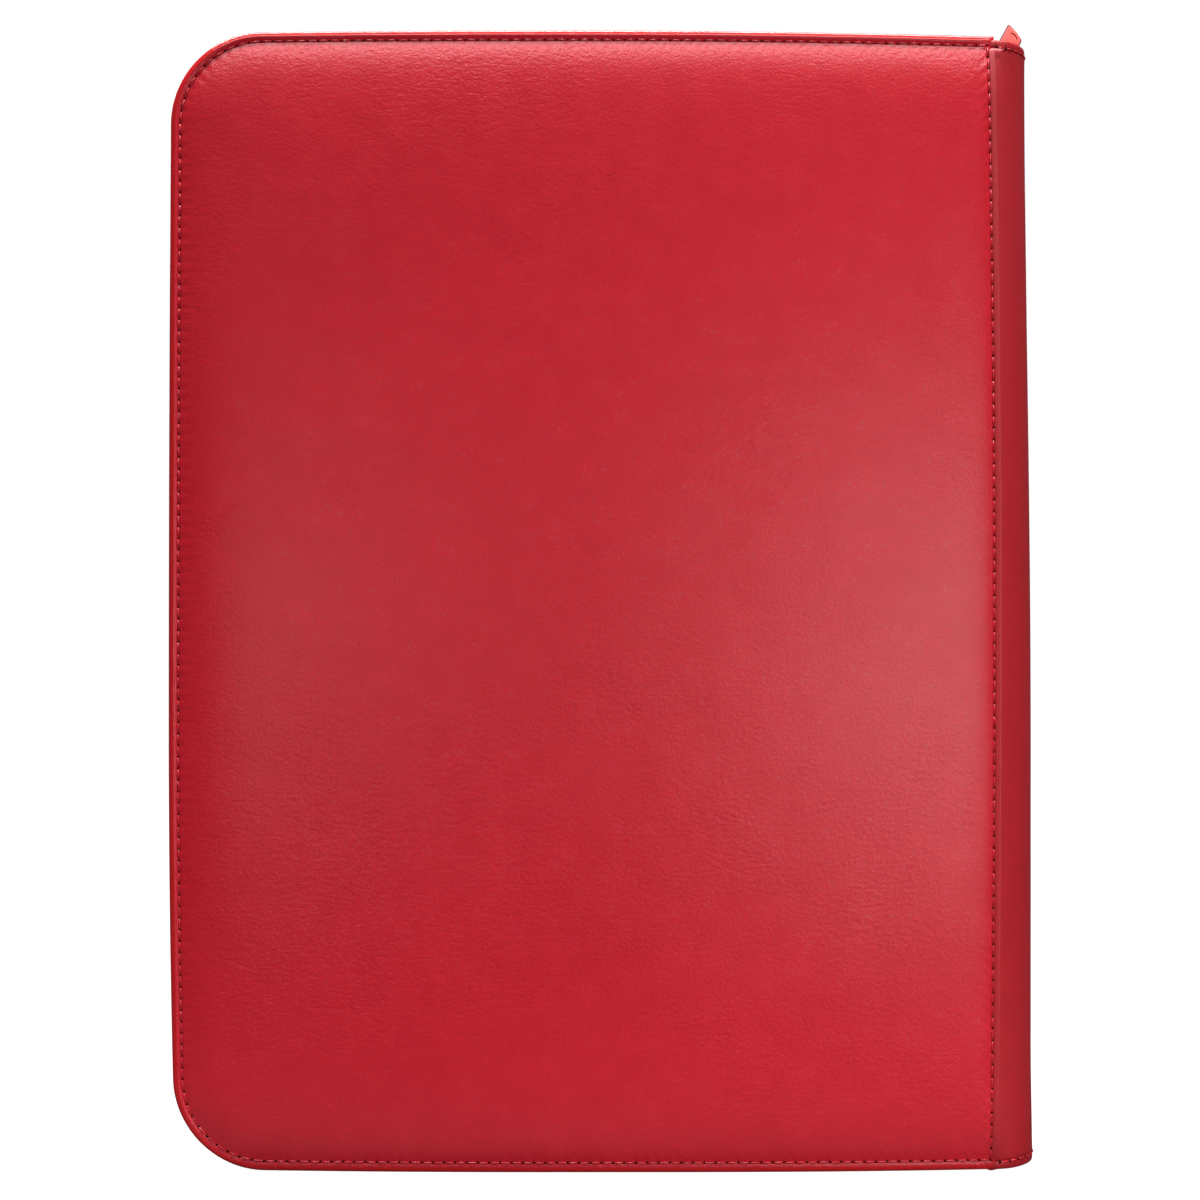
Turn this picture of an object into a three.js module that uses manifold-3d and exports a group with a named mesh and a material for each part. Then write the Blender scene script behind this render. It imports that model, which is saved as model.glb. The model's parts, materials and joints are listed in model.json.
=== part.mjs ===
// Zip-around trading card binder with side-loading nine-pocket pages.
//
// Frame, in millimetres: the closed binder stands upright on its bottom edge. +Z is up, +X runs from the
// rounded free edge to the spine, and +Y runs from the back cover to the front cover. The origin is the
// middle of the footprint, at the height of the bottom edge.
import * as THREE from "three";
import { mergeVertices } from "three/addons/utils/BufferGeometryUtils.js";
import Module from "manifold-3d";

const wasm = await Module();
wasm.setup();

// ---- Driving dimensions ----------------------------------------------------------------------------

const HEIGHT = 340; // bottom edge to top edge of a cover
const COVER_WIDTH = 247; // free edge to fold line of a cover
const DEPTH = 38; // outer face to outer face, closed
const SPINE_BULGE = 11; // how far the spine stands out past the fold lines
const CORNER_RADIUS = 27; // the two corners at the free edge
const PAGE_COUNT = 20;
const PAGE_PITCH = 1.25;

// ---- Cover lay-up, from the outer face inwards ------------------------------------------------------

const GLUE_GAP = 0.1; // between layers that lie on each other
const FOLD_GAP = 0.3; // from a fold line to the stiff piece on either side of it
const SKIN = 0.9;
const EDGE_ROLL = 2.2; // rounding of the skin where it turns over the board's edge
const COVER_FOAM = 1.7;
const COVER_BOARD = 2.0;
const LINING = 0.6;
const LINING_INSET = 1.3; // from the cover's edge to the lining's edge
const FOAM_INSET = 1.5; // the padding stops a little short of the board's edge

// ---- Worked out from those --------------------------------------------------------------------------

const FOLD_X = COVER_WIDTH - (COVER_WIDTH + SPINE_BULGE) / 2;
const FREE_X = FOLD_X - COVER_WIDTH;
const OUTER_Y = DEPTH / 2;
const FOAM_Y = OUTER_Y - SKIN - GLUE_GAP;
const BOARD_Y = FOAM_Y - COVER_FOAM - GLUE_GAP;
const RIM_Y = BOARD_Y - COVER_BOARD; // the skin's rim and the board end level
const LINING_Y = RIM_Y - GLUE_GAP;
const INNER_Y = LINING_Y - LINING;

// ---- Spine ------------------------------------------------------------------------------------------

const SPINE_HALF_CHORD = 18.5;
const SPINE_TOP = 336; // the hemmed spine is a little shorter than the covers
const SPINE_BOTTOM = 0.8;
const SPINE_HEM = 9; // the padding stops this far short of both hems
const SPINE_FOAM = 1.6;
const SPINE_BOARD = 1.2;
const SPINE_LINING = 0.5;
const SPINE_RADIUS = (SPINE_HALF_CHORD ** 2 + SPINE_BULGE ** 2) / (2 * SPINE_BULGE);
const SPINE_CENTRE_X = FOLD_X + SPINE_BULGE - SPINE_RADIUS;

// ---- Zip --------------------------------------------------------------------------------------------

const TAPE_INSET = 5.5; // from the cover's edge to the middle of the tape
const TAPE = 0.8;
const TAPE_FLANGE = 5;
const TAPE_FLANGE_THICK = 0.5;
const TAPE_END_X = FOLD_X - 7;
const COIL_HALF_GAP = 0.6; // the slider's web passes between the two coils
const COIL_WIDTH = 2.4;
const COIL_THICK = 2.4;
const COIL_END_X = TAPE_END_X - 4;
const STOP_LENGTH = 2.6;
const STOP_THICK = 3.2;

const SLIDER_X = 97; // parked at the spine's end of the top run
const SLIDER_LENGTH = 10;
const SLIDER_WIDTH = 9;
const SLIDER_PLATE = 1.6;
const SLIDER_CLEARANCE = 0.3;
const SLIDER_WEB = 0.6;
const SLIDER_WEB_LENGTH = 6;
const SLIDER_NOSE_WIDTH = 5.6; // across the trailing end, where the joined coils come out
const SLIDER_SHOULDER = 1.75; // from the slider's middle to where the plate starts to narrow
const JOIN_SINK = 0.2; // how far the joined pieces of the slider run into each other
const BAIL_WIDTH = 1.6;
const BAIL_BAR = 1.1;
const BAIL_OPENING = 2.7;
const BAIL_LENGTH = 8;
const PULL_LENGTH = 28;
const PULL_WIDTH = 6;
const PULL_THICK = 1.2;
const PULL_PIN_RADIUS = 0.7;
const PULL_WINDOW = 5.4; // from the pin's axis to the solid part of the pull
const PULL_SLOT_WIDTH = 2.6;

// ---- End tabs of the zip ----------------------------------------------------------------------------

const TAB_X = 123.6;
const TAB_HALF_WIDTH = 3.1;
const TAB_THICK = 6;
const TAB_GAP = 1; // from the spine's padding to a tab
const TOP_TAB_LOW = SPINE_TOP - SPINE_HEM + TAB_GAP;
const TOP_TAB_HIGH = 345.4;
const BOTTOM_TAB_LOW = 0.3;
const BOTTOM_TAB_HIGH = SPINE_BOTTOM + SPINE_HEM - TAB_GAP;

// ---- Pages ------------------------------------------------------------------------------------------

const PAGE_THICK = 0.5;
const PAGE_WIDTH = 226;
const PAGE_HEIGHT = 302;
const PAGE_CORNER = 3;
const PAGE_BOUND_X = 109.2;
const BINDING_X = 110;

// ---- Fineness of the round shapes -------------------------------------------------------------------

const CORNER_SEGMENTS = 10;
const SPINE_SEGMENTS = 16;
const ROLL_SEGMENTS = 3;
const PAGE_CORNER_SEGMENTS = 4;
const PIN_SEGMENTS = 20;
const MERGE_DISTANCE = 1e-4;

// ---- Materials --------------------------------------------------------------------------------------

const material = (color, roughness, metalness = 0) =>
  new THREE.MeshStandardMaterial({ color, roughness, metalness });
const leatherette = () => material(0xb0232c, 0.42);
const foam = () => material(0x3a3a3c, 0.95);
const board = () => material(0x8d7a63, 0.9);
const liningCloth = () => material(0x1d1c1f, 0.8);
const zipCloth = () => material(0x9c1f28, 0.85);
const coilNylon = () => material(0x8c1a22, 0.45);
const zipMetal = () => material(0xb9b9bd, 0.3, 1);
const pageFilm = () => material(0x17171a, 0.25);

// ---- Geometry helpers -------------------------------------------------------------------------------

function toManifold(geometry) {
  const bare = geometry.clone();
  bare.deleteAttribute("normal");
  bare.deleteAttribute("uv");
  const merged = mergeVertices(bare, MERGE_DISTANCE);
  return new wasm.Manifold(
    new wasm.Mesh({
      numProp: 3,
      vertProperties: new Float32Array(merged.attributes.position.array),
      triVerts: new Uint32Array(merged.index.array),
    }),
  );
}

function fromManifold(solid) {
  const { vertProperties, triVerts } = solid.getMesh();
  const geometry = new THREE.BufferGeometry();
  geometry.setAttribute("position", new THREE.BufferAttribute(new Float32Array(vertProperties), 3));
  geometry.setIndex(new THREE.BufferAttribute(new Uint32Array(triVerts), 1));
  geometry.computeVertexNormals();
  return geometry;
}

const cut = (whole, tool) => fromManifold(toManifold(whole).subtract(toManifold(tool)));

function join(first, ...others) {
  return fromManifold(others.reduce((sum, other) => sum.add(toManifold(other)), toManifold(first)));
}

// A box from its lowest to its highest corner.
function box([x0, y0, z0], [x1, y1, z1]) {
  return new THREE.BoxGeometry(x1 - x0, y1 - y0, z1 - z0).translate(
    (x0 + x1) / 2,
    (y0 + y1) / 2,
    (z0 + z1) / 2,
  );
}

// An outline drawn in X and Z, extruded along Y from y0 to y1.
function slabAcrossY(outline, y0, y1, bevel = 0, curveSegments = CORNER_SEGMENTS) {
  const settings = { depth: y1 - y0 - 2 * bevel, curveSegments, bevelEnabled: bevel > 0 };
  if (bevel > 0) {
    Object.assign(settings, {
      bevelThickness: bevel,
      bevelSize: bevel,
      bevelOffset: -bevel,
      bevelSegments: ROLL_SEGMENTS,
    });
  }
  // Extruding runs along +Z, so the slab is turned until that is -Y, then moved to end at y0.
  return new THREE.ExtrudeGeometry(outline, settings).rotateX(Math.PI / 2).translate(0, y1 - bevel, 0);
}

// An outline drawn in X and Y, extruded along Z from z0 to z1.
function slabAcrossZ(outline, z0, z1, curveSegments = SPINE_SEGMENTS) {
  const settings = { depth: z1 - z0, curveSegments, bevelEnabled: false };
  return new THREE.ExtrudeGeometry(outline, settings).translate(0, 0, z0);
}

// The outline of a cover, shrunk all round by inset, and by foldInset at the fold.
function coverOutline(inset, foldInset = inset) {
  const left = FREE_X + inset;
  const right = FOLD_X - FOLD_GAP - foldInset;
  const radius = CORNER_RADIUS - inset;
  const outline = new THREE.Shape();
  outline.moveTo(right, inset);
  outline.lineTo(right, HEIGHT - inset);
  outline.lineTo(left + radius, HEIGHT - inset);
  outline.absarc(left + radius, HEIGHT - inset - radius, radius, Math.PI / 2, Math.PI, false);
  outline.lineTo(left, inset + radius);
  outline.absarc(left + radius, inset + radius, radius, Math.PI, 1.5 * Math.PI, false);
  outline.closePath();
  return outline;
}

// A band that follows the cover's edge from the spine's top end, round both corners, to its bottom end.
function edgeBand(outerInset, innerInset, endX) {
  const band = new THREE.Shape();
  const outerLeft = FREE_X + outerInset;
  const innerLeft = FREE_X + innerInset;
  const outerRadius = CORNER_RADIUS - outerInset;
  const innerRadius = CORNER_RADIUS - innerInset;
  band.moveTo(endX, HEIGHT - outerInset);
  band.lineTo(outerLeft + outerRadius, HEIGHT - outerInset);
  band.absarc(outerLeft + outerRadius, HEIGHT - CORNER_RADIUS, outerRadius, Math.PI / 2, Math.PI, false);
  band.lineTo(outerLeft, CORNER_RADIUS);
  band.absarc(outerLeft + outerRadius, CORNER_RADIUS, outerRadius, Math.PI, 1.5 * Math.PI, false);
  band.lineTo(endX, outerInset);
  band.lineTo(endX, innerInset);
  band.lineTo(innerLeft + innerRadius, innerInset);
  band.absarc(innerLeft + innerRadius, CORNER_RADIUS, innerRadius, 1.5 * Math.PI, Math.PI, true);
  band.lineTo(innerLeft, HEIGHT - CORNER_RADIUS);
  band.absarc(innerLeft + innerRadius, HEIGHT - CORNER_RADIUS, innerRadius, Math.PI, Math.PI / 2, true);
  band.lineTo(endX, HEIGHT - innerInset);
  band.closePath();
  return band;
}

// A curved layer of the spine between two radii about the spine's centre line.
function spineLayer(outerRadius, innerRadius, startX, z0, z1) {
  const reach = startX - SPINE_CENTRE_X;
  const outerAngle = Math.acos(reach / outerRadius);
  const innerAngle = Math.acos(reach / innerRadius);
  const section = new THREE.Shape();
  section.absarc(SPINE_CENTRE_X, 0, outerRadius, -outerAngle, outerAngle, false);
  section.absarc(SPINE_CENTRE_X, 0, innerRadius, innerAngle, -innerAngle, true);
  section.closePath();
  return slabAcrossZ(section, z0, z1);
}

function part(name, geometry, look) {
  const mesh = new THREE.Mesh(geometry, look);
  mesh.name = name;
  return mesh;
}

// The mirror image of a solid across the plane between the two covers.
function mirrored(geometry) {
  const copy = geometry.index ? geometry.toNonIndexed() : geometry.clone();
  copy.scale(1, -1, 1);
  const position = copy.attributes.position;
  const corner = new THREE.Vector3();
  const other = new THREE.Vector3();
  for (let i = 0; i < position.count; i += 3) {
    corner.fromBufferAttribute(position, i);
    other.fromBufferAttribute(position, i + 1);
    position.setXYZ(i, other.x, other.y, other.z);
    position.setXYZ(i + 1, corner.x, corner.y, corner.z);
  }
  copy.computeVertexNormals();
  return copy;
}

// ---- Cover pieces, made for the back cover ----------------------------------------------------------

// A shallow tray: the face is the outside of the cover, the rim is the skin turned over the edge.
function coverSkin() {
  const whole = slabAcrossY(coverOutline(0), -OUTER_Y, -RIM_Y);
  const rolled = slabAcrossY(coverOutline(0), -OUTER_Y, OUTER_Y, EDGE_ROLL);
  const hollow = slabAcrossY(coverOutline(SKIN), -OUTER_Y + SKIN, 0);
  return fromManifold(toManifold(whole).intersect(toManifold(rolled)).subtract(toManifold(hollow)));
}

function coverFoam() {
  return slabAcrossY(coverOutline(FOAM_INSET), -FOAM_Y, -FOAM_Y + COVER_FOAM);
}

function coverBoard() {
  return slabAcrossY(coverOutline(SKIN + GLUE_GAP), -BOARD_Y, -RIM_Y);
}

function coverLining() {
  return slabAcrossY(coverOutline(LINING_INSET), -LINING_Y, -INNER_Y);
}

// The tape stands on a flange that is sewn down along the lining's edge.
function zipTape() {
  const foot = -INNER_Y + GLUE_GAP;
  const outer = TAPE_INSET - TAPE / 2;
  const wall = slabAcrossY(
    edgeBand(outer, TAPE_INSET + TAPE / 2, TAPE_END_X),
    foot,
    -COIL_HALF_GAP - COIL_WIDTH - GLUE_GAP,
  );
  const flangeBand = edgeBand(outer, outer + TAPE_FLANGE, TAPE_END_X);
  const flange = slabAcrossY(flangeBand, foot, foot + TAPE_FLANGE_THICK);
  return join(wall, flange);
}

function zipCoil() {
  const half = COIL_THICK / 2;
  const band = edgeBand(TAPE_INSET - half, TAPE_INSET + half, COIL_END_X);
  return slabAcrossY(band, -COIL_HALF_GAP - COIL_WIDTH, -COIL_HALF_GAP);
}

// A stop closes each end of a coil. centreZ is the height of the run that it closes.
function zipStop(centreZ) {
  const start = COIL_END_X + GLUE_GAP;
  return box(
    [start, -COIL_HALF_GAP - COIL_WIDTH, centreZ - STOP_THICK / 2],
    [start + STOP_LENGTH, -COIL_HALF_GAP, centreZ + STOP_THICK / 2],
  );
}

function coverParts(side, place) {
  return [
    part(`${side}_skin`, place(coverSkin()), leatherette()),
    part(`${side}_foam`, place(coverFoam()), foam()),
    part(`${side}_board`, place(coverBoard()), board()),
    part(`${side}_lining`, place(coverLining()), liningCloth()),
    part(`zip_tape_${side}`, place(zipTape()), zipCloth()),
    part(`zip_coil_${side}`, place(zipCoil()), coilNylon()),
    part(`zip_stop_top_${side}`, place(zipStop(HEIGHT - TAPE_INSET)), zipMetal()),
    part(`zip_stop_bottom_${side}`, place(zipStop(TAPE_INSET)), zipMetal()),
  ];
}

// ---- Spine pieces -----------------------------------------------------------------------------------

function spineParts() {
  const startX = FOLD_X + FOLD_GAP;
  const foamOuter = SPINE_RADIUS - SKIN - GLUE_GAP;
  const boardOuter = foamOuter - SPINE_FOAM - GLUE_GAP;
  const liningOuter = boardOuter - SPINE_BOARD - GLUE_GAP;
  const bindingOuter = liningOuter - SPINE_LINING - GLUE_GAP;
  const low = SPINE_BOTTOM + SPINE_HEM;
  const high = SPINE_TOP - SPINE_HEM;
  return [
    part(
      "spine_skin",
      spineLayer(SPINE_RADIUS, SPINE_RADIUS - SKIN, startX, SPINE_BOTTOM, SPINE_TOP),
      leatherette(),
    ),
    part("spine_foam", spineLayer(foamOuter, foamOuter - SPINE_FOAM, startX, low, high), foam()),
    part("spine_board", spineLayer(boardOuter, boardOuter - SPINE_BOARD, startX, low, high), board()),
    part(
      "spine_lining",
      spineLayer(liningOuter, liningOuter - SPINE_LINING, startX, low, high),
      liningCloth(),
    ),
    part("page_binding_strip", bindingStrip(bindingOuter), liningCloth()),
  ];
}

// The sewn stack of page margins: flat where the pages leave it, round where it is glued to the spine.
function bindingStrip(radius) {
  const halfWidth = (PAGE_COUNT * PAGE_PITCH) / 2;
  const angle = Math.asin(halfWidth / radius);
  const section = new THREE.Shape();
  section.moveTo(BINDING_X, halfWidth);
  section.lineTo(BINDING_X, -halfWidth);
  section.absarc(SPINE_CENTRE_X, 0, radius, -angle, angle, false);
  section.closePath();
  const low = (HEIGHT - PAGE_HEIGHT) / 2;
  return slabAcrossZ(section, low, low + PAGE_HEIGHT);
}

// A strip of leatherette folded over the joined ends of the two tapes; its free end is rounded.
function endTab(low, high, roundEnd) {
  const left = TAB_X - TAB_HALF_WIDTH;
  const right = TAB_X + TAB_HALF_WIDTH;
  const radius = TAB_HALF_WIDTH;
  const outline = new THREE.Shape();
  if (roundEnd === "top") {
    outline.moveTo(left, low);
    outline.lineTo(right, low);
    outline.lineTo(right, high - radius);
    outline.absarc(TAB_X, high - radius, radius, 0, Math.PI, false);
  } else {
    outline.moveTo(right, high);
    outline.lineTo(left, high);
    outline.lineTo(left, low + radius);
    outline.absarc(TAB_X, low + radius, radius, Math.PI, 2 * Math.PI, false);
  }
  outline.closePath();
  return slabAcrossY(outline, -TAB_THICK / 2, TAB_THICK / 2);
}

function endTabs() {
  return [
    part("zip_end_tab_top", endTab(TOP_TAB_LOW, TOP_TAB_HIGH, "top"), leatherette()),
    part("zip_end_tab_bottom", endTab(BOTTOM_TAB_LOW, BOTTOM_TAB_HIGH, "bottom"), leatherette()),
  ];
}

// ---- Slider and pull --------------------------------------------------------------------------------

const COIL_TOP_Z = HEIGHT - TAPE_INSET + COIL_THICK / 2;
const COIL_LOW_Z = COIL_TOP_Z - COIL_THICK;
const PLATE_LOW_Z = COIL_TOP_Z + SLIDER_CLEARANCE;
const PLATE_TOP_Z = PLATE_LOW_Z + SLIDER_PLATE;
const PULL_AXIS_Z = PLATE_TOP_Z + BAIL_OPENING / 2;

// The plan of a slider plate: full width at the spine's end, which leads as the zip closes, and narrower at
// the other end.
function sliderPlate(z0, z1) {
  const half = SLIDER_LENGTH / 2;
  const wide = SLIDER_WIDTH / 2;
  const nose = SLIDER_NOSE_WIDTH / 2;
  const plan = new THREE.Shape();
  plan.moveTo(SLIDER_X - half, nose);
  plan.lineTo(SLIDER_X - half, -nose);
  plan.lineTo(SLIDER_X - SLIDER_SHOULDER, -wide);
  plan.lineTo(SLIDER_X + half, -wide);
  plan.lineTo(SLIDER_X + half, wide);
  plan.lineTo(SLIDER_X - SLIDER_SHOULDER, wide);
  plan.closePath();
  return slabAcrossZ(plan, z0, z1);
}

function zipSlider() {
  const halfWeb = SLIDER_WEB / 2;
  const halfBail = BAIL_WIDTH / 2;
  const bailTop = PLATE_TOP_Z + BAIL_OPENING + BAIL_BAR;
  const outerPlate = sliderPlate(PLATE_LOW_Z, PLATE_TOP_Z);
  const innerTop = COIL_LOW_Z - SLIDER_CLEARANCE;
  const innerPlate = sliderPlate(innerTop - SLIDER_PLATE, innerTop);
  const web = box(
    [SLIDER_X - SLIDER_WEB_LENGTH / 2, -halfWeb, innerTop - JOIN_SINK],
    [SLIDER_X + SLIDER_WEB_LENGTH / 2, halfWeb, PLATE_LOW_Z + JOIN_SINK],
  );
  const bail = new THREE.Shape();
  bail.moveTo(SLIDER_X - BAIL_LENGTH / 2, PLATE_TOP_Z - JOIN_SINK);
  bail.lineTo(SLIDER_X + BAIL_LENGTH / 2, PLATE_TOP_Z - JOIN_SINK);
  bail.lineTo(SLIDER_X + BAIL_LENGTH / 2, bailTop - BAIL_BAR);
  bail.lineTo(SLIDER_X + BAIL_LENGTH / 2 - BAIL_BAR, bailTop);
  bail.lineTo(SLIDER_X - BAIL_LENGTH / 2 + BAIL_BAR, bailTop);
  bail.lineTo(SLIDER_X - BAIL_LENGTH / 2, bailTop - BAIL_BAR);
  bail.closePath();
  const bailWindow = box(
    [SLIDER_X - BAIL_LENGTH / 2 + BAIL_BAR, -SLIDER_WIDTH, PLATE_TOP_Z],
    [SLIDER_X + BAIL_LENGTH / 2 - BAIL_BAR, SLIDER_WIDTH, PLATE_TOP_Z + BAIL_OPENING],
  );
  const arch = cut(slabAcrossY(bail, -halfBail, halfBail), bailWindow);
  return join(outerPlate, innerPlate, web, arch);
}

// The pull lies along the zip; its pin runs through the bail.
function zipPull() {
  const half = PULL_WIDTH / 2;
  const tipX = SLIDER_X - PULL_LENGTH;
  const plan = new THREE.Shape();
  plan.moveTo(SLIDER_X, -half);
  plan.lineTo(SLIDER_X, half);
  plan.lineTo(tipX + half, half);
  plan.absarc(tipX + half, 0, half, Math.PI / 2, 1.5 * Math.PI, false);
  plan.closePath();
  const low = PULL_AXIS_Z - PULL_THICK / 2;
  const blank = slabAcrossZ(plan, low, low + PULL_THICK, CORNER_SEGMENTS);
  const slot = box(
    [SLIDER_X - PULL_WINDOW, -PULL_SLOT_WIDTH / 2, PULL_AXIS_Z - PULL_THICK],
    [SLIDER_X + PULL_WINDOW, PULL_SLOT_WIDTH / 2, PULL_AXIS_Z + PULL_THICK],
  );
  const pin = new THREE.CylinderGeometry(PULL_PIN_RADIUS, PULL_PIN_RADIUS, PULL_WIDTH, PIN_SEGMENTS);
  pin.translate(SLIDER_X, 0, PULL_AXIS_Z);
  return join(cut(blank, slot), pin);
}

// ---- Pages ------------------------------------------------------------------------------------------

function pageOutline() {
  const right = PAGE_BOUND_X;
  const left = right - PAGE_WIDTH;
  const low = (HEIGHT - PAGE_HEIGHT) / 2;
  const high = low + PAGE_HEIGHT;
  const outline = new THREE.Shape();
  outline.moveTo(right, low);
  outline.lineTo(right, high);
  outline.lineTo(left + PAGE_CORNER, high);
  outline.absarc(left + PAGE_CORNER, high - PAGE_CORNER, PAGE_CORNER, Math.PI / 2, Math.PI, false);
  outline.lineTo(left, low + PAGE_CORNER);
  outline.absarc(left + PAGE_CORNER, low + PAGE_CORNER, PAGE_CORNER, Math.PI, 1.5 * Math.PI, false);
  outline.closePath();
  return outline;
}

// Page 1 lies next to the back cover.
function pages() {
  const stack = [];
  for (let i = 0; i < PAGE_COUNT; i += 1) {
    const y = (i - (PAGE_COUNT - 1) / 2) * PAGE_PITCH;
    const sheet = slabAcrossY(pageOutline(), -PAGE_THICK / 2, PAGE_THICK / 2, 0, PAGE_CORNER_SEGMENTS);
    const page = part(`page_${String(i + 1).padStart(2, "0")}`, sheet, pageFilm());
    page.position.y = y;
    stack.push(page);
  }
  return stack;
}

// ---- The binder -------------------------------------------------------------------------------------

const binder = new THREE.Group();
binder.add(...coverParts("back", (geometry) => geometry));
binder.add(...coverParts("front", mirrored));
binder.add(...spineParts(), ...endTabs());
binder.add(part("zip_slider", zipSlider(), zipMetal()), part("zip_pull", zipPull(), zipMetal()));
binder.add(...pages());

export default binder;
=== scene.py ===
import json
import math

import bmesh
import bpy
import numpy as np
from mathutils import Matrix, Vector, noise


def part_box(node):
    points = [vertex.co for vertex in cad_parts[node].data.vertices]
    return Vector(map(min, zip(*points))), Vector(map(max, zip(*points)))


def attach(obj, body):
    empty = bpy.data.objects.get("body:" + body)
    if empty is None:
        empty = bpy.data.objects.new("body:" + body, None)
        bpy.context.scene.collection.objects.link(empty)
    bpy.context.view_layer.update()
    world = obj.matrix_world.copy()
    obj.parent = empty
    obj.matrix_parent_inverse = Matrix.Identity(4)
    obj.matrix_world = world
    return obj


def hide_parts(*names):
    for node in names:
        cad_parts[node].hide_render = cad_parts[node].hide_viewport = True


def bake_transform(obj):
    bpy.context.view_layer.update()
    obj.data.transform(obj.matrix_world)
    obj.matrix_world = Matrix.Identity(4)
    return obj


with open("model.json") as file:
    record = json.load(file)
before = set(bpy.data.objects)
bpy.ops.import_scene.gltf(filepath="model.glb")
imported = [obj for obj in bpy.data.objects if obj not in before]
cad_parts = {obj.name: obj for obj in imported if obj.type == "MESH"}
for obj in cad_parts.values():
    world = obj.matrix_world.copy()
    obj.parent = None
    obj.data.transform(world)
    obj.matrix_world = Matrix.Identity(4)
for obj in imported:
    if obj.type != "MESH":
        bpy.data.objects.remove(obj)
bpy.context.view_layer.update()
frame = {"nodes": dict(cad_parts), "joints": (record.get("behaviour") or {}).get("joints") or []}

# Looks of the closed zip binder. Sizes are in millimetres and become metres when a mesh is made.
# Depth is measured outwards from the plane between the covers: w = -y on the back, +y on the front.
MM = 0.001
BACK, FRONT = -1, 1


def box_mm(node):
    low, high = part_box(node)
    return np.array(low) / MM, np.array(high) / MM


# ---- Sizes read from the frame

JOINTS = {joint["name"]: joint for joint in frame["joints"]}
FOLD_X = JOINTS["spine_fold"]["pos_m"][0] / MM
SKIN_LOW, SKIN_HIGH = box_mm("back_skin")
FREE_X, OUTER_W, TOP_Z = SKIN_LOW[0], -SKIN_LOW[1], SKIN_HIGH[2]
MIDDLE_Z = TOP_Z / 2
SPINE_HIGH = box_mm("spine_skin")[1]
APEX_X = SPINE_HIGH[0]
BOARD_TOP_W = -box_mm("back_board")[0][1] - 0.8   # clear of the stitch groove
INNER_W = -box_mm("back_lining")[1][1]
TAPE_END_X = box_mm("zip_tape_back")[1][0]
COIL_HIGH = box_mm("zip_coil_back")[1]

# ---- Sizes of the spine

CREST_X = FOLD_X - 0.7    # where the strip beside the seam turns down into the spine
SPINE_HALF_CHORD = 18.12
SPINE_BULGE = APEX_X - CREST_X
SPINE_RADIUS = (SPINE_HALF_CHORD ** 2 + SPINE_BULGE ** 2) / (2 * SPINE_BULGE)
SPINE_CENTRE_X = APEX_X - SPINE_RADIUS

# ---- Sizes of the sewn cover

CORNER_RADIUS = 27.0
ARC_X, ARC_HIGH = FREE_X + CORNER_RADIUS, TOP_Z - CORNER_RADIUS   # the corners' centres
STITCH_PITCH = 3.45
STITCH_PARTS = 4          # mesh steps from one needle hole to the next
STITCH_INSET = 2.9
STITCH_RING = 18          # the ring of the skin that the stitches lie in
ROLL_END = 13             # rings of the skin on its rolled edge
SEAM_LEVEL = 17.8
SEAM_INSET = 2.05         # from the cover's edge at the fold to its upright seam
LEATHER = 0.5
HEM_WIDTH = 8.0           # of the skin turned in round the board
HEM_LEVEL = 16.36         # the edge lies flat at this depth along the bottom
EDGE_W = 15.6             # where the rolled edge starts to turn in
EDGE_ROLL = 0.85
EDGE_FLAT = (0.13, 0.09)  # a flatter stretch part of the way round the rolled edge
ROLL_SWEEP = 73.0         # degrees that the edge turns through before it runs straight
FOLD_ROLL = (1.0, 1.55)   # the same roll at the fold: across and out
ROLL_TURNS = 7
CORNER_BLEND = 5.0        # length over which an edge changes at the fold's two corners
CROWN_START = 3.4         # from the edge to where the pad rises
CROWN_INSETS = [3.8, 4.4, 5.2, 6.3, 7.8, 9.6, 12.0, 15.0]
INNER_INSET = 40.0        # from the edge to the middle grid of the skin
BRIDGES = 6               # rings from the last crown ring to the middle grid
PAD_GAP = 0.35            # between the skin and its pad
PAD_INSETS = (2.2, 4.4, 7.8, 12.0, 15.0)
FLAT_FOLD_INSET = 1.2     # of the boards and the linings at the fold
BOARD_INSET, BOARD_LOW_W = 1.1, 14.3
LINING_INSET, LINING_HIGH_W = 6.6, 14.08
COVER_EDGE_X = FOLD_X - 0.6
SPINE_TOP_Z = SPINE_HIGH[2] + 2.9
HEM_STITCH = 2.45         # from the end of the spine to its row of stitches

# ---- Sizes of the zip and the tabs

TAPE_INSET = TOP_Z - (COIL_HIGH[2] - 1.2)
TAPE_THICK = 0.6
COIL_END_X = COIL_HIGH[0]
COIL_PITCH = 1.5
FLANGE_STITCHES = 2.6     # from the tape's wall to the row that sews its flange to the lining
TAB_THICK = 0.75          # half the thickness of the folded tab
TAB_BEND = 7.5            # from the tab's point down to where it bends
TAB_LEAN = 16.0           # degrees that the part above the bend leans back
TAB_Y = -1.0              # where the tab's middle stands
TAIL_HALF = 5.6           # half the width of the two tapes' closed end

# ---- Sizes of the pages

POCKETS = 3
MARGIN_BOUND = 13.0       # plain strip of a page beside the binding
MARGIN_EDGE = 2.2
WELD = 1.6                # width of the welded line between two pockets
PAGE_HALF, POCKET_HALF = 0.12, 0.25   # half thickness at a weld and at a pocket


# ---- Camera

def make_camera():
    data = bpy.data.cameras.new("camera")
    data.sensor_width = 36.0
    data.lens = 75.9
    data.clip_end = 20.0
    camera = bpy.data.objects.new("camera", data)
    camera.location = (-0.56 * MM, -(OUTER_W + 750.0) * MM, (MIDDLE_Z + 0.4) * MM)
    camera.rotation_euler = (math.radians(90), 0, 0)
    bpy.context.scene.collection.objects.link(camera)
    bpy.context.scene.camera = camera


# ---- Node helpers

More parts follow.
